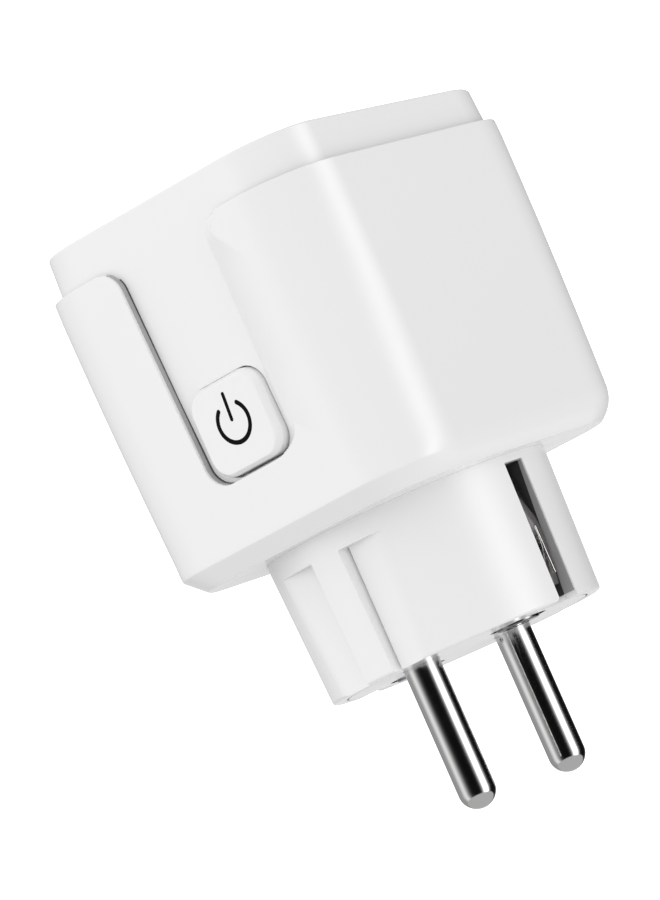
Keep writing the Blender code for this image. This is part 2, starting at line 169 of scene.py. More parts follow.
# The button above its flange: (x below the face, inset, corner radius, slant of the +Z side)
BUTTON_RIM = [
    (0.7, 0.0, 3.0, 0.0),
    (0.6, 0.03, 3.0, 0.03),
    (0.1, 0.36, 2.7, 0.3),
    (0.02, 0.46, 2.6, 0.36),
    (0.0, 0.6, 2.45, 0.4),
]
BUTTON_FLANGE = 0.9

EARTH_HALF_WIDTH = 1.5
EARTH_LINE = [
    (-62.4, 18.1), (-60.2, 17.0), (-57.2, 15.9), (-54.0, 16.6), (-50.0, 17.9),
    (-27.6, 17.9), (-25.2, 16.2), (-18.0, 16.2), (-12.0, 17.0), (-8.0, 17.2), (-2.2, 16.3),
]


# ---------------------------------------------------------------- mesh helpers
def arc(centre, radius, start, end, count):
    """Points on a circle from start to end degrees, both included."""
    points = []
    for step in range(count + 1):
        angle = math.radians(start + (end - start) * step / count)
        points.append((centre[0] + radius * math.cos(angle), centre[1] + radius * math.sin(angle)))
    return points


def rounded_rect(half_u, half_v, radius, count=20):
    points = []
    for turn, (su, sv) in enumerate(((1, 1), (-1, 1), (-1, -1), (1, -1))):
        centre = (su * (half_u - radius), sv * (half_v - radius))
        points += arc(centre, radius, 90 * turn, 90 * turn + 90, count)
    return points


def loft(loops, capped=True):
    data = bmesh.new()
    rings = [[data.verts.new(point) for point in loop] for loop in loops]
    count = len(rings[0])
    for lower, upper in zip(rings, rings[1:]):
        for k in range(count):
            after = (k + 1) % count
            data.faces.new((lower[k], lower[after], upper[after], upper[k]))
    if capped:
        data.faces.new(reversed(rings[0]))
        data.faces.new(rings[-1])
    return data


def square_loop(y, half, radius, count=20):
    return [(u, y, v) for u, v in rounded_rect(half, half, radius, count)]


def square_loft(sections, count=20):
    return loft([square_loop(*section, count) for section in sections])


def rim_lean(x, z):
    """How far the front rim lies behind the CAD's front plane."""
    return max(RIM_LEAN[0] + RIM_LEAN[1] * x + RIM_LEAN[2] * z + RIM_LEAN[3] * x * x, 0.0)


def step_lean(x, z):
    """How far the body's front edge lies behind STEP_Y."""
    return -STEP_LEAN[0] * (BODY_HALF - x) - STEP_LEAN[1] * (BODY_HALF - z)


def leaning(loop, lean):
    return [(x, y + lean(x, z), z) for x, y, z in loop]


def mix(a, b, t):
    return [p + (q - p) * t for p, q in zip(a, b)]


def fade_up(value, start, end):
    t = min(max((value - start) / (end - start), 0.0), 1.0)
    return t * t * (3 - 2 * t)


def ending_loops():
    """Loops from the body to its flat back face, with an edge that differs from side to side."""
    top = CHAMFER_EDGE[1] + 0.05
    full = math.asin((BACK_Y - ROUNDING_START_Y) / ROUNDING_RADIUS)
    loops = []
    for step in range(1, ROUNDING_STEPS + 1):
        angle = full * step / ROUNDING_STEPS
        y = ROUNDING_START_Y + ROUNDING_RADIUS * math.sin(angle)
        half = top - ROUNDING_RADIUS * (1 - math.cos(angle))
        soft = (y, half, half - 14.05 + 0.36 * (top - half))
        if y < CHAMFER_Y - 0.4:
            crisp = (y, top, 9.8)
        elif y < CHAMFER_Y + 0.3:
            crisp = CHAMFER_EDGE
        else:
            crisp = mix(CHAMFER_EDGE, CHAMFER_END, (y - CHAMFER_Y) / (BACK_Y - CHAMFER_Y))
        crisp_loop, soft_loop = square_loop(*crisp), square_loop(*soft)
        count = len(crisp_loop)
        loop = []
        for k, (first, second) in enumerate(zip(crisp_loop, soft_loop)):
            turn, part = divmod(k, count // 4)
            heading = 90 * (turn + part / (count // 4 - 1))
            loop.append(mix(first, second, fade_up(min(heading, 360 - heading), 50, 80)))
        loops.append(loop)
    return loops


def turned(profile, x=0.0, z=0.0, count=128):
    """A closed solid of revolution about a line along Y, from (y, radius) pairs."""
    data = bmesh.new()
    outline = [(profile[0][0], 0.0), *profile, (profile[-1][0], 0.0)]
    verts = [data.verts.new((x + radius, y, z)) for y, radius in outline]
    edges = [data.edges.new(pair) for pair in zip(verts, verts[1:])]
    bmesh.ops.spin(
        data, geom=verts + edges, cent=(x, 0, z), axis=(0, 1, 0), dvec=(0, 0, 0),
        angle=2 * math.pi, steps=count, use_merge=True,
    )
    bmesh.ops.remove_doubles(data, verts=data.verts, dist=1e-5)
    return data


def ring(profile, x=0.0, z=0.0, count=128):
    """A closed ring about a line along Y, from a closed outline of (y, radius) pairs."""
    data = bmesh.new()
    verts = [data.verts.new((x + radius, y, z)) for y, radius in profile]
    edges = [data.edges.new(pair) for pair in zip(verts, verts[1:] + verts[:1])]
    bmesh.ops.spin(
        data, geom=verts + edges, cent=(x, 0, z), axis=(0, 1, 0), dvec=(0, 0, 0),
        angle=2 * math.pi, steps=count, use_merge=True,
    )
    bmesh.ops.remove_doubles(data, verts=data.verts, dist=1e-5)
    return data


def rod(y, radius, x=0.0, z=0.0, count=48):
    return turned([(y[0], radius), (y[1], radius)], x, z, count)


def block(x, y, z):
    data = bmesh.new()
    bmesh.ops.create_cube(data, size=1.0)
    bmesh.ops.scale(data, verts=data.verts, vec=(x[1] - x[0], y[1] - y[0], z[1] - z[0]))
    middle = ((x[0] + x[1]) / 2, (y[0] + y[1]) / 2, (z[0] + z[1]) / 2)
    bmesh.ops.translate(data, verts=data.verts, vec=middle)
    return data


def extruded(outline, vector):
    """A flat outline of 3-D points, extruded along a vector."""
    data = bmesh.new()
    face = data.faces.new([data.verts.new(point) for point in outline])
    grown = bmesh.ops.extrude_face_region(data, geom=[face])["geom"]
    ends = [item for item in grown if isinstance(item, bmesh.types.BMVert)]
    bmesh.ops.translate(data, verts=ends, vec=vector)
    return data


def slab_x(points, x):
    return extruded([(x[0], y, z) for y, z in points], (x[1] - x[0], 0, 0))


def slab_y(points, y):
    return extruded([(u, y[0], v) for u, v in points], (0, y[1] - y[0], 0))


def slab_z(points, z):
    return extruded([(u, v, z[0]) for u, v in points], (0, 0, z[1] - z[0]))


def button_loop(x, inset, radius, slant=0.0, count=14):
    """A loop of the push button; slant moves its +Z side in."""
    half_y = BUTTON_HALF_Y - inset
    half_z = BUTTON_HALF_Z - inset
    loop = rounded_rect(half_y, half_z, radius, count)
    return [(x, BUTTON_Y + u, BUTTON_Z + v - slant * (0.5 + v / half_z / 2)) for u, v in loop]


# ---------------------------------------------------------------- piece helpers
class Piece:
    """A mesh in the making: Booleans first, then rounded edges and smooth shading."""

    def __init__(self, name, data):
        self.name = name
        self.obj = self.link(name, data)
        self.helpers = []

    @staticmethod
    def link(name, data):
        for vertex in data.verts:
            vertex.co = vertex.co * MM
        bmesh.ops.recalc_face_normals(data, faces=data.faces)
        mesh = bpy.data.meshes.new(name)
        data.to_mesh(mesh)
        data.free()
        obj = bpy.data.objects.new(name, mesh)
        bpy.context.scene.collection.objects.link(obj)
        return obj

    def combine(self, operation, data):
        helper = self.link(f"helper_{self.name}_{len(self.helpers)}", data)
        self.helpers.append(helper)
        modifier = self.obj.modifiers.new("boolean", "BOOLEAN")
        modifier.operation = operation
        modifier.solver = "MANIFOLD"
        modifier.object = helper
        return self

    def cut(self, data):
        return self.combine("DIFFERENCE", data)

    def join(self, data):
        return self.combine("UNION", data)

    def apply(self):
        """Makes the modifiers' result the mesh itself and drops the helpers."""
        graph = bpy.context.evaluated_depsgraph_get()
        mesh = bpy.data.meshes.new_from_object(self.obj.evaluated_get(graph))
        self.obj.modifiers.clear()
        self.obj.data = mesh
        for helper in self.helpers:
            bpy.data.objects.remove(helper)
        self.helpers = []
        return self

    def clean(self, distance=0.002):
        data = bmesh.new()
        data.from_mesh(self.obj.data)
        bmesh.ops.remove_doubles(data, verts=data.verts, dist=distance * MM)
        bmesh.ops.dissolve_degenerate(data, edges=data.edges, dist=distance * MM)
        data.to_mesh(self.obj.data)
        data.free()
        return self

    def finish(self, material, body, replaced=(), edge=0.2, segments=3, angle=30):
        """Rounds the sharp edges, shades smooth and hands the piece to the frame."""
        self.apply()
        self.clean()
        obj = self.obj
        if edge:
            modifier = obj.modifiers.new("round edges", "BEVEL")
            modifier.width = edge * MM
            modifier.segments = segments
            modifier.limit_method = "ANGLE"
            modifier.angle_limit = math.radians(angle)
            modifier.use_clamp_overlap = False
            modifier.harden_normals = False
            modifier.miter_outer = "MITER_ARC"
        obj.data.shade_smooth()
        if not edge:
            obj.data.set_sharp_from_angle(angle=math.radians(angle))
        normals = obj.modifiers.new("weighted normals", "WEIGHTED_NORMAL")
        normals.mode = "FACE_AREA"
        normals.keep_sharp = True
        self.apply()
        obj.data.materials.clear()
        obj.data.materials.append(material)
        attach(obj, body)
        if replaced:
            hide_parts(*replaced)
        return obj


# ---------------------------------------------------------------- materials
class Shader:
    """A Principled material with small helpers for its procedural inputs."""

    def __init__(self, name, colour, roughness, metallic=0.0, **extra):
        self.material = bpy.data.materials.new(name)
        self.material.use_nodes = True
        self.tree = self.material.node_tree
        self.principled = self.tree.nodes["Principled BSDF"]
        self.principled.inputs["Base Color"].default_value = (*colour, 1.0)
        self.principled.inputs["Roughness"].default_value = roughness
        self.principled.inputs["Metallic"].default_value = metallic
        for key, value in extra.items():
            self.principled.inputs[key.replace("_", " ")].default_value = value
        self.coordinates = self.tree.nodes.new("ShaderNodeTexCoord").outputs["Object"]

    def noise(self, scale, detail=3.0, stretch=(1, 1, 1)):
        mapping = self.tree.nodes.new("ShaderNodeMapping")
        mapping.inputs["Scale"].default_value = stretch
        self.tree.links.new(self.coordinates, mapping.inputs["Vector"])
        noise = self.tree.nodes.new("ShaderNodeTexNoise")
        noise.inputs["Scale"].default_value = scale
        noise.inputs["Detail"].default_value = detail
        self.tree.links.new(mapping.outputs["Vector"], noise.inputs["Vector"])
        return noise.outputs["Fac"]

    def spread(self, value, low, high):
        node = self.tree.nodes.new("ShaderNodeMapRange")
        node.inputs["From Min"].default_value = 0.3
        node.inputs["From Max"].default_value = 0.7
        node.inputs["To Min"].default_value = low
        node.inputs["To Max"].default_value = high
        self.tree.links.new(value, node.inputs["Value"])
        return node.outputs["Result"]

    def vary_roughness(self, scale, low, high, stretch=(1, 1, 1)):
        value = self.spread(self.noise(scale, 3.0, stretch), low, high)
        self.tree.links.new(value, self.principled.inputs["Roughness"])
        return self

    def vary_colour(self, scale, first, second, stretch=(1, 1, 1)):
        ramp = self.tree.nodes.new("ShaderNodeValToRGB")
        ramp.color_ramp.elements[0].position = 0.35
        ramp.color_ramp.elements[0].color = (*first, 1.0)
        ramp.color_ramp.elements[1].position = 0.65
        ramp.color_ramp.elements[1].color = (*second, 1.0)
        self.tree.links.new(self.noise(scale, 2.0, stretch), ramp.inputs["Fac"])
        self.tree.links.new(ramp.outputs["Color"], self.principled.inputs["Base Color"])
        return self

    def bump(self, scale, strength, depth, stretch=(1, 1, 1)):
        bump = self.tree.nodes.new("ShaderNodeBump")
        bump.inputs["Strength"].default_value = strength
        bump.inputs["Distance"].default_value = depth * MM
        self.tree.links.new(self.noise(scale, 2.0, stretch), bump.inputs["Height"])
        self.tree.links.new(bump.outputs["Normal"], self.principled.inputs["Normal"])
        return self


def make_materials():
    white = Shader("white_shell", (0.85, 0.85, 0.85), 0.19)
    white.vary_roughness(250, 0.17, 0.21)
    inner = Shader("inner_white", (0.8, 0.8, 0.78), 0.5)
    inner.vary_roughness(300, 0.42, 0.55).bump(6000, 0.1, 0.01)
    dark = Shader("dark_insulator", (0.03, 0.03, 0.032), 0.5)
    dark.vary_colour(200, (0.028, 0.028, 0.03), (0.04, 0.04, 0.042))
    dark.vary_roughness(500, 0.42, 0.6).bump(5000, 0.1, 0.01)
    nickel = Shader("nickel_plate", (0.73, 0.73, 0.725), 0.09, 1.0)
    nickel.vary_roughness(5000, 0.06, 0.15, (1, 0.05, 1)).bump(7000, 0.2, 0.003, (1, 0.04, 1))
    earth = Shader("earth_metal", (0.5, 0.49, 0.48), 0.2, 1.0)
    earth.vary_roughness(900, 0.12, 0.25).bump(900, 0.2, 0.02)
    # grey: painted shade on the walls inside the earth slots
    painted_shade = Shader("painted_slot_wall_shade", (0.36, 0.36, 0.36), 0.4)
    painted_shade.vary_roughness(400, 0.35, 0.45)
    # grey: painted shade on the channel's upright wall
    wall_shade_shader = Shader("painted_wall_shade", (0.42, 0.42, 0.42), 0.4)
    wall_shade_shader.vary_roughness(400, 0.35, 0.45)
    # near-black: painted shade in the crease at the foot of the channel's upright wall
    crease_shade_shader = Shader("painted_crease_shade", (0.07, 0.07, 0.07), 0.5)
    crease_shade_shader.vary_roughness(500, 0.45, 0.6)
    steel = Shader("zinc_steel", (0.3, 0.3, 0.31), 0.16, 1.0)
    steel.vary_roughness(1500, 0.14, 0.24)
    brass = Shader("contact_brass", (0.75, 0.55, 0.3), 0.3, 1.0)
    brass.vary_colour(300, (0.75, 0.55, 0.3), (0.66, 0.46, 0.24)).vary_roughness(800, 0.24, 0.4)
    board = Shader("circuit_board", (0.02, 0.16, 0.06), 0.4)
    board.vary_colour(900, (0.018, 0.14, 0.05), (0.03, 0.2, 0.08)).vary_roughness(700, 0.3, 0.5)
    case = Shader("component_case", (0.05, 0.12, 0.45), 0.4)
    case.vary_colour(150, (0.05, 0.12, 0.45), (0.06, 0.15, 0.5)).vary_roughness(500, 0.35, 0.5)
    ink = Shader("icon_ink", (0.004, 0.004, 0.004), 0.5, Specular_IOR_Level=0.05)
    ink.vary_roughness(3000, 0.4, 0.5)
    shaders = {
        "white_shell": white, "inner_white": inner, "dark_insulator": dark,
        "nickel_plate": nickel, "earth_metal": earth, "zinc_steel": steel, "contact_brass": brass,
        "circuit_board": board, "component_case": case, "icon_ink": ink,
        "painted_slot_wall_shade": painted_shade, "painted_wall_shade": wall_shade_shader, "painted_crease_shade": crease_shade_shader,
    }
    return {name: shader.material for name, shader in shaders.items()}


MATERIALS = make_materials()


# ---------------------------------------------------------------- the shell
def channel_outline(inset=0.0, spread=0.0):
    """The finger channel seen along X, from the front step to below the button.

    Its +Z side moves out by spread, which fades along the end's corner.
    """
    halves = []
    for side, wider in ((1, spread), (-1, 0.0)):
        mouth = (STEP_Y + CHANNEL_RADIUS, CHANNEL_MOUTH_Z + CHANNEL_RADIUS + wider)
        end = (CHANNEL_END_Y - CHANNEL_RADIUS, CHANNEL_END_Z - CHANNEL_RADIUS)
        points = [
            (y + step_lean(BODY_HALF, side * z), side * z)
            for y, z in arc(mouth, CHANNEL_RADIUS + inset, 180, 270, 16)
        ]
        for y, z in arc(end, CHANNEL_RADIUS - inset, 90, 0, 16):
            points.append((y, side * (z + wider * (z - end[1]) / CHANNEL_RADIUS)))
        halves.append(points)
    return halves[0] + halves[1][::-1]


def channel_cutter():
    """Cuts the channel with an upright wall at -Z and a gentle slope at +Z."""
    top = CHANNEL_FLOOR_X + SLOPE_RISE
    loops = []
    for x, spread in ((20.0, 0.0), (CHANNEL_FLOOR_X, 0.0), (top, SLOPE_RUN), (28.0, SLOPE_RUN)):
        outline = channel_outline(0.0, spread)
        outline += [(STEP_Y - 2.0, outline[-1][1]), (STEP_Y - 2.0, outline[0][1])]
        loops.append([(x - SLEEVE_TAPER * (y - STEP_Y), y, z) for y, z in outline])
    return loft(loops)


def build_channel_shade_strips():
    """Painted shade: a near-black strip in the crease at the foot of the channel's upright wall and
    a grey strip on the wall above it.
    """
    for name, (depth, low, high, start) in SHADE_STRIPS.items():
        outer, inner = channel_outline(-0.1), channel_outline(depth)
        data = slab_x(outer + inner[::-1], (low, high))
        for vertex in data.verts:
            vertex.co.x -= SLEEVE_TAPER * (vertex.co.y - STEP_Y)
        shade_strip = Piece(name, data)
        shade_strip.cut(block((20.0, 26.0), (STEP_Y - 4.0, STEP_Y + start), (-20.0, 20.0)))
        shade_strip.cut(block((20.0, 26.0), (STEP_Y - 4.0, 0.0), (SHADE_STRIP_END_Z, 20.0)))
        # Near-black for the shade in the crease, grey for the shade on the wall above it.
        material = MATERIALS["painted_crease_shade" if name == "channel_crease_shade" else "painted_wall_shade"]
        shade_strip.finish(material, "housing", (), 0)


def build_sleeve():
    loops = [square_loop(*section) for section in SLEEVE_OUTER]
    loops[0] = leaning(loops[0], step_lean)
    sleeve = Piece("sleeve_shell", loft(loops + ending_loops()))
    sleeve.cut(square_loft(SLEEVE_INNER))
    sleeve.cut(rod((-24.0, -15.0), OPENING_RADIUS, count=128))
    surround_x, surround_z = CHANNEL_SURROUND
    sleeve.join(block(surround_x, (STEP_Y + 0.1, CHANNEL_END_Y + 3.0), surround_z))
    sleeve.cut(channel_cutter())
    sleeve.finish(MATERIALS["white_shell"], "housing", ["outer_sleeve"], 0.1)


def build_core():
    loops = [square_loop(*section) for section in CORE_OUTER]
    rim = [leaning(loop, rim_lean) for loop in loops[:TILTED_SECTIONS]]
    core = Piece("inner_housing", loft(rim + loops[TILTED_SECTIONS:]))
    core.cut(square_loft(CORE_INNER))
    core.join(rod((-64.8, FLOOR_BACK_Y), WELL_RADIUS + WELL_WALL, count=128))
    core.cut(turned([(FRONT_Y - 1.0, WELL_RADIUS), (WELL_FLOOR_Y, WELL_RADIUS)]))
    for side in (-1, 1):
        hole = [
            (WELL_FLOOR_Y - 1.0, SOCKET_HOLE_RADIUS + SOCKET_HOLE_LEAD),
            (WELL_FLOOR_Y + 0.6, SOCKET_HOLE_RADIUS),
            (FLOOR_BACK_Y + 1.0, SOCKET_HOLE_RADIUS),
        ]
        core.cut(turned(hole, side * PIN_X, count=48))
        window_x = (-EARTH_WINDOW_HALF_WIDTH, EARTH_WINDOW_HALF_WIDTH)
        window_z = sorted(side * z for z in EARTH_WINDOW_Z)
        core.cut(block(window_x, (WELL_FLOOR_Y - 1, FLOOR_BACK_Y + 1), window_z))
        key_x = sorted((side * (WELL_RADIUS - 1.7), side * (WELL_RADIUS + 0.7)))
        key_z = (-KEY_HALF_WIDTH, KEY_HALF_WIDTH)
        core.join(block(key_x, (FRONT_Y + 2.0, WELL_FLOOR_Y + 0.5), key_z))
    for drop in (0.0, APERTURE_DROP):
        loops = [button_loop(x, -BUTTON_GAP, 3.0) for x in (20.0, 26.0)]
        core.cut(loft([[(x, y + drop, z) for x, y, z in loop] for loop in loops]))
    core.finish(MATERIALS["white_shell"], "housing", ["core_housing"], 0.1)


def boss_radius(y):
    return BOSS_ROOT_RADIUS + (BOSS_END_RADIUS - BOSS_ROOT_RADIUS) * (y - BACK_Y) / -BACK_Y


def flat_cutter(side, rib_side):
    """What a side flat takes off the boss beside its rib, blending into the round."""
    start = RIB_SHIFT * side * rib_side + RIB_HALF_WIDTH
    loops = []
    for y in (FLAT_TOP_Y, 1.5):
        inner = boss_radius(y) + 0.04 - FLAT_BLEND
        centre = (FLAT_X - FLAT_BLEND, math.sqrt(inner ** 2 - (FLAT_X - FLAT_BLEND) ** 2))
        reach = math.degrees(math.atan2(centre[1], centre[0]))
        points = [(FLAT_X, start), *arc(centre, FLAT_BLEND, 0, reach, 12)]
        points += [(24.0, 16.0), (24.0, start)]
        loops.append([(side * x, y, rib_side * z) for x, z in points])
    return loft(loops)


def slot_outline():
    """The earth slot seen along Z, with its corners rounded off where it opens at the end face."""
    half, radius = SLOT_HALF_WIDTH, 0.6
    left = arc((-half - radius, -radius), radius, 90, 0, 6)
    right = arc((half + radius, -radius), radius, 180, 90, 6)
    start, end = (-half - radius, 2.0), (half + radius, 2.0)
    return [start, *left, (-half, SLOT_TOP_Y), (half, SLOT_TOP_Y), *right, end]


def build_cover():
    cover = Piece("back_cover_shell", square_loft(COVER_PLATE))
    shoulder = [
        (BACK_Y + SHOULDER * (1 - math.cos(t)), NECK_RADIUS + SHOULDER * math.sin(t))
        for t in (math.radians(15 * k) for k in range(7))
    ]
    edge = arc((-0.4, BOSS_END_RADIUS - 0.4), 0.4, 90, 0, 6)
    cover.join(turned([(-22.0, NECK_RADIUS), *shoulder, *edge]))
    cover.cut(turned([(-24.0, 16.2), (-2.4, 16.2)]))
    cover.cut(ring([(-0.5, SEAM[0]), (0.5, SEAM[0]), (0.5, SEAM[1]), (-0.5, SEAM[1])]))
    for side in (-1, 1):
        for rib_side in (-1, 1):
            cover.cut(flat_cutter(side, rib_side))
        foot = RIB_SHIFT + RIB_HALF_WIDTH
        groove_z = sorted((side * (foot - 0.05), side * (foot + RIB_GROOVE)))
        groove_x = sorted((side * (FLAT_X - 0.5), side * 20.0))
        cover.cut(block(groove_x, (FLAT_TOP_Y + 0.1, 1.0), groove_z))
        passage = (0.1 - SLOT_HALF_WIDTH, SLOT_HALF_WIDTH - 0.1)
        cover.cut(block(passage, (-24.0, -10.0), sorted((side * 15.0, side * 17.7))))
        cover.cut(slab_z(slot_outline(), sorted((side * 14.6, side * 22.0))))
        cover.cut(rod((-4.0, 2.0), PIN_RADIUS + 0.12, side * PIN_X))
        recess = [(-4.0, 1.6), (-1.65, 1.6), (-1.6, RECESS_RADIUS), (1.0, RECESS_RADIUS)]
        cover.cut(turned(recess, 0.0, side * SCREW_Z, 48))
    cover.finish(MATERIALS["white_shell"], "housing", ["back_cover"], 0)


def build_cover_details():
    """Painted shade: grey on the earth slots' walls, near-black on their floors, in the screw wells
    and in the groove round the end face.
    """
    # dark_insulator is used here as painted shade, in the slot floors, the screw wells and the
    # end-face groove
    dark = MATERIALS["dark_insulator"]
    # A near-black ring in the groove round the end face: painted shade in the groove.
    start, end = SEAM_SHADE_Y
    corners = [(start, SEAM[0]), (end, SEAM[0]), (end, SEAM[1]), (start, SEAM[1])]
    groove_shade = Piece("end_face_groove_shade", ring(corners))
    for side in (-1, 1):
        groove_shade.cut(block((-9.0, 9.0), (-1.0, 1.0), sorted((side * 12.0, side * 20.0))))
    groove_shade.finish(dark, "housing", (), 0)
    for name, side in (("top", 1), ("bottom", -1)):
        half, wall = SLOT_HALF_WIDTH + 0.04, 0.14
        ends = (SLOT_TOP_Y - 0.04, -0.7)
        rim = [boss_radius(y) - 0.28 for y in ends]
        low = [(ends[0], 14.65), (ends[1], 14.65), (ends[1], 16.5), (ends[0], rim[0] - 0.5)]
        high = [low[3], low[2], (ends[1], rim[1]), (ends[0], rim[0])]
        # The near-black floor piece is painted shade in the deep slot; the grey wall piece is
        # painted shade on its walls.
        for kind, outline, floor in (("floor_shade", low, 15.3), ("painted_shade", high, 14.0)):
            points = [(y, side * z) for y, z in outline]
            painted_shade = Piece(f"earth_slot_{kind}_{name}", slab_x(points, (-half, half)))
            inner_z = sorted((side * floor, side * 20.0))
            painted_shade.cut(block((wall - half, half - wall), (ends[0] + wall, 1.0), inner_z))
            material = dark if kind == "floor_shade" else MATERIALS["painted_slot_wall_shade"]
            painted_shade.finish(material, "housing", (), 0)
        # A near-black ring on each screw recess's wall: painted shade in the recess.
        radii = (RECESS_RADIUS - 0.2, RECESS_RADIUS + 0.04)
        well = [(-1.5, radii[0]), (-0.05, radii[0]), (-0.05, radii[1]), (-1.5, radii[1])]
        painted_shade = Piece(f"screw_well_shade_{name}", ring(well, 0.0, side * SCREW_Z, 64))
        painted_shade.finish(dark, "housing", (), 0)


def build_button():
    loops = [
        button_loop(BUTTON_LOW[0], -BUTTON_FLANGE, 2.5),
        button_loop(BUTTON_LOW[0] + 0.7, -BUTTON_FLANGE, 2.5),
        button_loop(BUTTON_LOW[0] + 0.75, 0.0, 3.0),
    ]
    loops += [button_loop(BUTTON_FACE_X - down, *rest) for down, *rest in BUTTON_RIM]
    cap = Piece("button_cap", loft(loops))
    cap.finish(MATERIALS["white_shell"], "button", ["power_button"], 0)


def stroke(points, width, x, closed_ends=12):
    """A round-ended line of the given width through (y, z) points, as a thin slab along X."""
    half = width / 2
    left, right = [], []
    for k, (y, z) in enumerate(points):
        before = points[max(k - 1, 0)]
        after = points[min(k + 1, len(points) - 1)]
        dy, dz = after[0] - before[0], after[1] - before[1]
        length = math.hypot(dy, dz)
        ny, nz = -dz / length, dy / length
        left.append((y + ny * half, z + nz * half))
        right.append((y - ny * half, z - nz * half))

    def end_cap(centre, start):
        first = math.degrees(math.atan2(start[1] - centre[1], start[0] - centre[0]))
        return arc(centre, half, first, first - 180, closed_ends)[1:-1]

    outline = left + end_cap(points[-1], left[-1]) + right[::-1] + end_cap(points[0], right[0])
    return slab_x(outline, x)


def build_icon():
    x = (BUTTON_FACE_X - 0.02, BUTTON_FACE_X + 0.012)
    top, bottom = (BUTTON_Y - 3.95, BUTTON_Z + 0.22), (BUTTON_Y - 0.62, BUTTON_Z - 0.05)
    bar = stroke([top, mix(top, bottom, 0.5), bottom], 0.52, x)
    centre = (BUTTON_Y - 0.23, BUTTON_Z + 0.1)
    loop = arc(centre, 2.6, 180 + 40, 180 + 320, 60)
    for name, data in (("icon_bar", bar), ("icon_ring", stroke(loop, 0.6, x))):
        Piece(name, data).finish(MATERIALS["icon_ink"], "button", (), 0)


# ---------------------------------------------------------------- metal parts
def build_pin(name, x):
    profile = [(-26.5, 0.8), (-26.2, 1.1), (-17.4, 1.1), (-17.3, 3.4), (-15.0, 3.4)]
    profile += [(-14.9, PIN_RADIUS)]
    profile += [(y, PIN_RADIUS) for y in (-10.0, -5.0, 0.0, 5.0, 10.0)]
    dome = arc((0.0, PIN_TIP_Y - PIN_RADIUS), PIN_RADIUS, 0, 88, 24)
    profile += [(y, radius) for radius, y in dome]
    pin = Piece(f"{name}_body", turned(profile, x, count=96))
    pin.finish(MATERIALS["nickel_plate"], "housing", [name], 0)


def build_screw(name, z):
    profile = [(-11.5, 0.5), (-10.5, 1.2), (-1.45, 1.2), (-1.4, 2.9), (-1.1, 2.9)]
    profile += [(0.12, 2.9), (0.22, 2.85), (0.3, 2.7), (0.33, 2.3)]
    screw = Piece(f"{name}_body", turned(profile, 0.0, z, 64))
    screw.cut(block((-1.7, 1.7), (-0.8, 1.0), (z - 0.33, z + 0.33)))
    screw.cut(block((-0.33, 0.33), (-0.8, 1.0), (z - 1.7, z + 1.7)))
    screw.finish(MATERIALS["zinc_steel"], "housing", [name], 0.06, 2)


def smooth_line(points, count=8):
    """A Catmull-Rom line through the points."""
    line = []
    for k in range(len(points) - 1):
        p = [points[min(max(k + j, 0), len(points) - 1)] for j in (-1, 0, 1, 2)]
        for step in range(count):
            t = step / count
            line.append(tuple(
                0.5 * (
                    2 * p[1][i]
                    + (p[2][i] - p[0][i]) * t
                    + (2 * p[0][i] - 5 * p[1][i] + 4 * p[2][i] - p[3][i]) * t * t
                    + (3 * p[1][i] - p[0][i] - 3 * p[2][i] + p[3][i]) * t ** 3
                )
                for i in (0, 1)
            ))
    line.append(points[-1])
    return line


def build_earth_bar(name, side):
    line = smooth_line(EARTH_LINE)
    near = [(y, side * (z - 0.33)) for y, z in line]
    far = [(y, side * (z + 0.33)) for y, z in reversed(line)]
    bar = Piece(f"{name}_strip", slab_x(near + far, (-EARTH_HALF_WIDTH, EARTH_HALF_WIDTH)))
    bar.join(rod((-10.0, -3.6), 0.22, -0.6, side * 17.42, 24))
    bar.finish(MATERIALS["earth_metal"], "housing", [name], 0.06, 2)


def build_shutter():
    y = (SHUTTER_LOW[1], SHUTTER_HIGH[1])
    z = (SHUTTER_LOW[2] + SHUTTER_HIGH[2]) / 2
    outline = [(u, v + z) for u, v in rounded_rect(12.9, 6.6, 1.5, 6)]
    shutter = Piece("shutter_plate", slab_y(outline, y))
    for side in (-1, 1):
        shutter.cut(rod((-48.0, -42.0), 2.9, side * PIN_X, z + 3.2, 48))
    shutter.finish(MATERIALS["inner_white"], "shutter_slide", ["shutter"], 0.15)


# ---------------------------------------------------------------- inner pieces kept from the frame
NODE_MATERIALS = {
    "pin_carrier": "dark_insulator", "contact_block": "dark_insulator",
    "switch_plunger": "dark_insulator", "transformer": "dark_insulator",
    "bulk_capacitor_1": "dark_insulator", "bulk_capacitor_2": "dark_insulator",
    "tact_switch": "zinc_steel", "wifi_shield": "zinc_steel", "shutter_spring": "zinc_steel",
    "earth_bridge": "contact_brass", "contact_live": "contact_brass",
    "contact_neutral": "contact_brass", "main_board": "circuit_board",
    "button_board": "circuit_board", "wifi_board": "circuit_board", "relay": "component_case",
    "x_capacitor": "component_case", "fuse_resistor": "component_case",
    "varistor": "component_case", "status_led": "component_case",
}


def dress_nodes():
    for node, material in NODE_MATERIALS.items():
        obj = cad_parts[node]
        obj.data.materials.clear()
        obj.data.materials.append(MATERIALS[material])


# ---------------------------------------------------------------- studio
CAMERA_LOCATION = (0.48571, 0.03144, 0.40769)
CAMERA_TARGET = (0.00913, -0.02929, 0.00016)
CAMERA_UP = (-0.19524, -0.91070, 0.36402)
LENS = 200.78
FLOOR_Z = -0.35


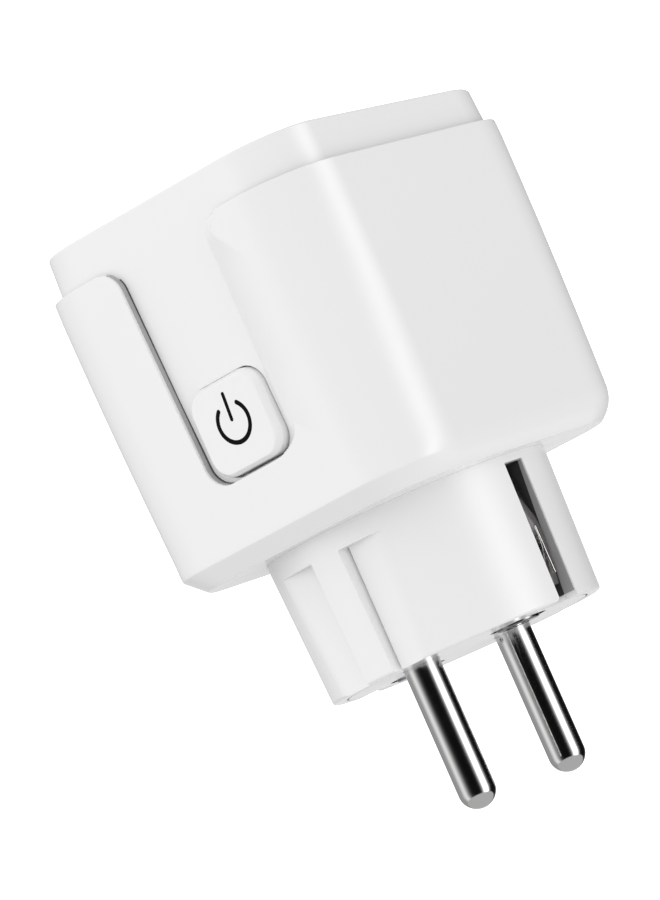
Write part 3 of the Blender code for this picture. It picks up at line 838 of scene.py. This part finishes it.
def build_camera():
    location = Vector(CAMERA_LOCATION)
    back = (location - Vector(CAMERA_TARGET)).normalized()
    right = Vector(CAMERA_UP).cross(back).normalized()
    up = back.cross(right)
    data = bpy.data.cameras.new("camera")
    data.lens = LENS
    data.sensor_fit = "VERTICAL"
    data.sensor_height = 36.0
    data.clip_start = 0.01
    data.clip_end = 50.0
    camera = bpy.data.objects.new("camera", data)
    turn = Matrix((right, up, back)).transposed().to_4x4()
    camera.matrix_world = Matrix.Translation(location) @ turn
    bpy.context.scene.collection.objects.link(camera)
    bpy.context.scene.camera = camera


# Soft light from all round: how the brightness changes with the direction it comes from
AMBIENT = 1.035
AMBIENT_TILT = {"x": 0.09, "y": -0.06, "z": 0.0, "xy": -0.56, "yz": 0.68, "yy": -0.28}

# Lamps and cards that glossy surfaces mirror: azimuth about Y from +X towards +Z, width, brightness
CARDS = [(97, 12, 3.6), (-38, 16, 0.92), (-138, 15, 0.75), (-88, 22, 0.36)]
LAMP_SHIFT = 17
LAMP_SHIFT_Y = (0.045, 0.125)
CARD_END = 0.5
END_CARD = 0.52
DARK_CARD = 0.006
CARD_RADIUS = 3.0


class NodeMath:
    def __init__(self, tree):
        self.tree = tree

    def put(self, socket, value):
        if isinstance(value, (int, float)):
            socket.default_value = value
        else:
            self.tree.links.new(value, socket)

    def __call__(self, operation, *values):
        node = self.tree.nodes.new("ShaderNodeMath")
        node.operation = operation
        for socket, value in zip(node.inputs, values):
            self.put(socket, value)
        return node.outputs[0]

    def fade(self, value, start, end):
        """1 below start, 0 above end, smooth between."""
        node = self.tree.nodes.new("ShaderNodeMapRange")
        node.interpolation_type = "SMOOTHSTEP"
        self.put(node.inputs["Value"], value)
        node.inputs["From Min"].default_value = start
        node.inputs["From Max"].default_value = end
        node.inputs["To Min"].default_value = 1.0
        node.inputs["To Max"].default_value = 0.0
        return node.outputs["Result"]


def split_direction(tree, socket):
    """X, Y and Z of a direction, made unit length."""
    unit = tree.nodes.new("ShaderNodeVectorMath")
    unit.operation = "NORMALIZE"
    tree.links.new(socket, unit.inputs[0])
    split = tree.nodes.new("ShaderNodeSeparateXYZ")
    tree.links.new(unit.outputs[0], split.inputs[0])
    return split.outputs


def build_world():
    """Soft light for matt surfaces; the camera sees plain white."""
    world = bpy.data.worlds.new("studio")
    bpy.context.scene.world = world
    world.use_nodes = True
    tree = world.node_tree
    tree.nodes.clear()
    calc = NodeMath(tree)
    coordinates = tree.nodes.new("ShaderNodeTexCoord").outputs["Generated"]
    x, y, z = split_direction(tree, coordinates)
    axes = {"x": x, "y": y, "z": z}
    total = AMBIENT
    for key, amount in AMBIENT_TILT.items():
        term = axes[key[0]] if len(key) == 1 else calc("MULTIPLY", axes[key[0]], axes[key[1]])
        total = calc("ADD", calc("MULTIPLY", term, amount), total)
    soft = tree.nodes.new("ShaderNodeBackground")
    tree.links.new(calc("MAXIMUM", total, 0.0), soft.inputs["Strength"])
    plain = tree.nodes.new("ShaderNodeBackground")
    plain.inputs["Color"].default_value = (1, 1, 1, 1)
    plain.inputs["Strength"].default_value = 1.0
    soft.inputs["Color"].default_value = (1, 1, 1, 1)
    mixer = tree.nodes.new("ShaderNodeMixShader")
    rays = tree.nodes.new("ShaderNodeLightPath")
    tree.links.new(rays.outputs["Is Camera Ray"], mixer.inputs[0])
    tree.links.new(soft.outputs[0], mixer.inputs[1])
    tree.links.new(plain.outputs[0], mixer.inputs[2])
    output = tree.nodes.new("ShaderNodeOutputWorld")
    tree.links.new(mixer.outputs[0], output.inputs["Surface"])
    world.cycles_visibility.glossy = False


def build_cards():
    """A wide dome of lamps and dark cards that only glossy reflections see."""
    bpy.ops.mesh.primitive_uv_sphere_add(segments=48, ring_count=24, radius=CARD_RADIUS)
    dome = bpy.context.object
    dome.name = "light_cards"
    dome.data.shade_smooth()
    material = bpy.data.materials.new("light_cards")
    material.use_nodes = True
    tree = material.node_tree
    tree.nodes.clear()
    calc = NodeMath(tree)
    coordinates = tree.nodes.new("ShaderNodeTexCoord").outputs["Object"]
    x, y, z = split_direction(tree, coordinates)
    azimuth = calc("ARCTAN2", z, x)
    total = DARK_CARD
    low = calc("SUBTRACT", 1.0, calc.fade(calc("MULTIPLY", y, -1.0), *LAMP_SHIFT_Y))
    shift = calc("MULTIPLY", low, math.radians(LAMP_SHIFT))
    for k, (centre, width, brightness) in enumerate(CARDS):
        offset = calc("SUBTRACT", azimuth, math.radians(centre))
        if k == 0:
            offset = calc("SUBTRACT", offset, shift)
        away = calc("DIVIDE", calc("WRAP", offset, math.pi, -math.pi), math.radians(width))
        fall = calc("EXPONENT", calc("MULTIPLY", calc("MULTIPLY", away, away), -0.5))
        total = calc("ADD", calc("MULTIPLY", fall, brightness), total)
    middle = calc.fade(calc("ABSOLUTE", y), CARD_END - 0.03, CARD_END + 0.03)
    ends = calc("MULTIPLY", calc("SUBTRACT", 1.0, middle), END_CARD)
    emission = tree.nodes.new("ShaderNodeEmission")
    tree.links.new(calc("ADD", calc("MULTIPLY", total, middle), ends), emission.inputs["Strength"])
    output = tree.nodes.new("ShaderNodeOutputMaterial")
    tree.links.new(emission.outputs[0], output.inputs["Surface"])
    material.cycles.emission_sampling = "NONE"
    dome.data.materials.append(material)
    dome.visible_camera = False
    dome.visible_diffuse = False
    dome.visible_transmission = False
    dome.visible_volume_scatter = False
    dome.visible_shadow = False


def build_floor():
    bpy.ops.mesh.primitive_plane_add(size=12.0, location=(0, 0, FLOOR_Z))
    floor = bpy.context.object
    floor.name = "floor"
    paint = Shader("floor_paint", (0.9, 0.9, 0.9), 0.6)
    paint.principled.inputs["Emission Color"].default_value = (1, 1, 1, 1)
    paint.principled.inputs["Emission Strength"].default_value = 0.8
    paint.vary_roughness(3, 0.55, 0.65)
    floor.data.materials.append(paint.material)
    floor.visible_diffuse = False
    floor.visible_glossy = False
    floor.visible_transmission = False
    floor.visible_shadow = False


def main():
    build_sleeve()
    build_channel_shade_strips()
    build_core()
    build_cover()
    build_cover_details()
    build_button()
    build_icon()
    build_pin("pin_live", PIN_X)
    build_pin("pin_neutral", -PIN_X)
    build_screw("screw_top", SCREW_Z)
    build_screw("screw_bottom", -SCREW_Z)
    build_earth_bar("earth_bar_top", 1)
    build_earth_bar("earth_bar_bottom", -1)
    build_shutter()
    dress_nodes()
    build_camera()
    build_world()
    build_cards()
    build_floor()
    bpy.context.scene.view_settings.view_transform = "Standard"


main()
